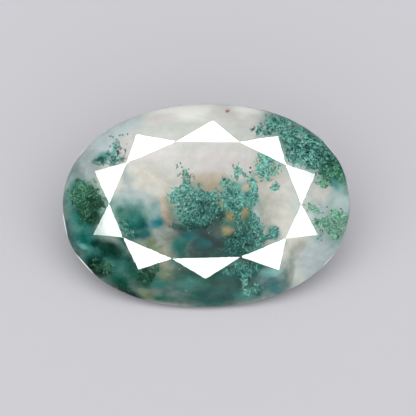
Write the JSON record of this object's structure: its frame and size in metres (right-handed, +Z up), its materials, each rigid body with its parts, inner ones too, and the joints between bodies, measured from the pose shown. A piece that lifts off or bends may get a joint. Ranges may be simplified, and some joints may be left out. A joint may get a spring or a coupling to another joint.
{
  "type": "faceted moss agate",
  "caption": "Oval brilliant-cut moss agate, a milky translucent stone with green mossy inclusions, lying on one of its lower facets as a loose cut stone does.",
  "frame": {"origin": "on the surface that the stone lies on, under the middle of its bounding box", "axes": "+X along the oval's length, +Z up from the surface, the table facing up and towards -Y"},
  "size_m": [0.014, 0.008, 0.0063],
  "materials": {
    "moss_agate": "polished flat facets; translucent grey to tan chalcedony with blue-green mossy grains, green haze and dark green plumes inside"
  },
  "bodies": {
    "root": {"moss_agate": "moss_agate"}
  },
  "joints": []
}
